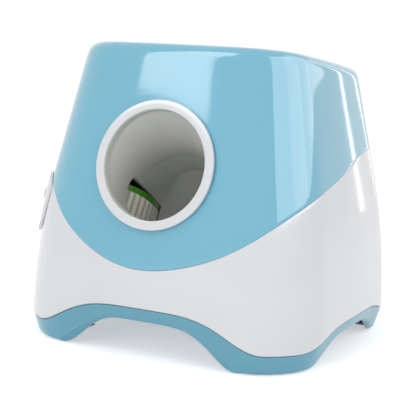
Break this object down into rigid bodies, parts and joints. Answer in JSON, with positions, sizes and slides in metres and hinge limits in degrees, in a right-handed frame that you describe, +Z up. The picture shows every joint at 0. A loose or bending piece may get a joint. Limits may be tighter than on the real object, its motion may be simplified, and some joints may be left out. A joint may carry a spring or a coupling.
{
  "type": "ball launcher",
  "caption": "Free-standing ball launcher: hopper, gate, bent chute and two motor wheels in a two-shell casing on an arched base.",
  "frame": {"origin": "on the ground under the middle of the casing", "axes": "+Z up, -Y out of the front with the launch mouth, +X to the viewer's right from the front"},
  "size_m": [0.2254, 0.2248, 0.2084],
  "materials": {
    "blue_shell": "glossy moulded ABS, light blue",
    "white_shell": "glossy moulded ABS, white",
    "chute_plastic": "smooth moulded ABS, pale grey",
    "tyre_white": "ribbed moulded rubber, off-white",
    "hub_green": "moulded nylon, green",
    "dark_plastic": "moulded plastic, black",
    "button_plastic": "soft-touch plastic, pale grey",
    "motor_steel": "zinc plated steel can",
    "screw_steel": "zinc plated steel",
    "board_green": "glass epoxy board, green mask",
    "lamp_clear": "clear moulded light pipe",
    "foot_rubber": "soft moulded rubber",
    "cell_sleeve": "printed film sleeve, plain",
    "contact_metal": "nickel plated spring steel",
    "gear_plastic": "moulded acetal, natural"
  },
  "bodies": {
    "casing": {"upper_shell": "blue_shell", "lower_shell": "white_shell", "base_tray": "blue_shell", "mouth_ring": "white_shell", "hopper": "white_shell", "chute_left": "chute_plastic", "chute_right": "chute_plastic", "chute_screws": "screw_steel", "seam_screws": "screw_steel", "base_screws": "screw_steel", "hopper_screws": "screw_steel", "floor_screws": "screw_steel", "motor_screws": "screw_steel", "gate_screws": "screw_steel", "board_screws": "screw_steel", "rubber_feet": "foot_rubber", "sensor_emitter": "dark_plastic", "sensor_receiver": "dark_plastic", "gate_motor": "motor_steel", "gate_motor_plate": "dark_plastic", "battery_box": "dark_plastic", "battery_cells": "cell_sleeve", "battery_contacts": "contact_metal", "main_board": "board_green", "main_board_parts": "dark_plastic", "buzzer": "dark_plastic", "control_panel": "white_shell", "control_board": "board_green", "indicator_lights": "lamp_clear", "power_inlet": "dark_plastic", "left_motor": "motor_steel", "left_motor_mount": "dark_plastic", "right_motor": "motor_steel", "right_motor_mount": "dark_plastic"},
    "left_wheel": {"left_wheel_tyre": "tyre_white", "left_wheel_hub": "hub_green", "left_motor_shaft": "screw_steel"},
    "right_wheel": {"right_wheel_tyre": "tyre_white", "right_wheel_hub": "hub_green", "right_motor_shaft": "screw_steel"},
    "gate": {"ball_gate": "white_shell", "gate_pin": "screw_steel", "gate_gear": "gear_plastic"},
    "gate_drive": {"gate_pinion": "gear_plastic", "gate_motor_shaft": "screw_steel"},
    "power_button": {"power_button": "button_plastic"},
    "range_button": {"range_button": "button_plastic"},
    "battery_door": {"battery_door": "blue_shell", "door_screw": "screw_steel"}
  },
  "joints": [
    {"name": "left_wheel_spin", "type": "hinge", "parent": "casing", "child": "left_wheel", "pos_m": [-0.0585, -0.05952, 0.08501], "axis": [0, 0.5, 0.866], "continuous": true},
    {"name": "right_wheel_spin", "type": "hinge", "parent": "casing", "child": "right_wheel", "pos_m": [0.0585, -0.05952, 0.08501], "axis": [0, 0.5, 0.866], "continuous": true},
    {"name": "gate_swing", "type": "hinge", "parent": "casing", "child": "gate", "pos_m": [0, 0.0534, 0.141], "axis": [1, 0, 0], "range_deg": [0, 78]},
    {"name": "gate_drive_spin", "type": "hinge", "parent": "casing", "child": "gate_drive", "pos_m": [0, 0.07145, 0.141], "axis": [1, 0, 0], "range_deg": [-156, 0]},
    {"name": "power_button_press", "type": "slide", "parent": "casing", "child": "power_button", "axis": [0.9864, 0.0645, -0.1509], "range_m": [0, 0.0015], "stiffness_N_per_m": 400},
    {"name": "range_button_press", "type": "slide", "parent": "casing", "child": "range_button", "axis": [0.9864, 0.0645, -0.1509], "range_m": [0, 0.0015], "stiffness_N_per_m": 400},
    {"name": "battery_door_swing", "type": "hinge", "parent": "casing", "child": "battery_door", "pos_m": [0, 0.0089, 0.0232], "axis": [-1, 0, 0], "range_deg": [0, 80]}
  ],
  "couplings": [
    {"joint": "gate_drive_spin", "follows": "gate_swing", "ratio": -2}
  ]
}
